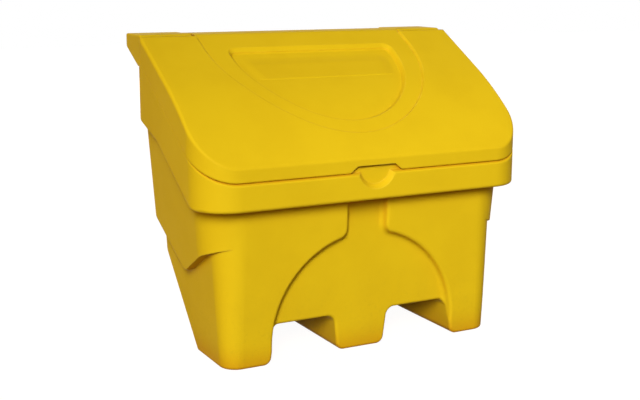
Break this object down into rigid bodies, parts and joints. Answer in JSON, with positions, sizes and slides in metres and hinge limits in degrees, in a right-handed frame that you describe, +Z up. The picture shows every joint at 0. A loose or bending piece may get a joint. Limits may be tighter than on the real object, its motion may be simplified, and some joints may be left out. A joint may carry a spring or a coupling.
{
  "type": "grit bin",
  "caption": "Moulded grit salt bin with a domed lid hinged on a rod at the back, an arch sunk in the front, a finger scoop and fork pockets under it.",
  "frame": {"origin": "middle of the bounding box's footprint, on the ground under the feet", "axes": "+X to the viewer's right across the front, +Y from the front to the hinge at the back, +Z up"},
  "size_m": [0.956, 0.556, 0.822],
  "materials": {
    "tub_plastic": "moulded, slightly worn",
    "lid_plastic": "moulded, slightly worn",
    "rod_steel": "galvanised",
    "plug_plastic": "moulded"
  },
  "bodies": {
    "tub": {"tub": "tub_plastic", "hinge_rod": "rod_steel", "hinge_plug": "plug_plastic"},
    "lid": {"lid": "lid_plastic"}
  },
  "joints": [
    {"name": "lid_hinge", "type": "hinge", "parent": "tub", "child": "lid", "pos_m": [0, 0.248, 0.795], "axis": [-1, 0, 0], "range_deg": [0, 270]}
  ]
}
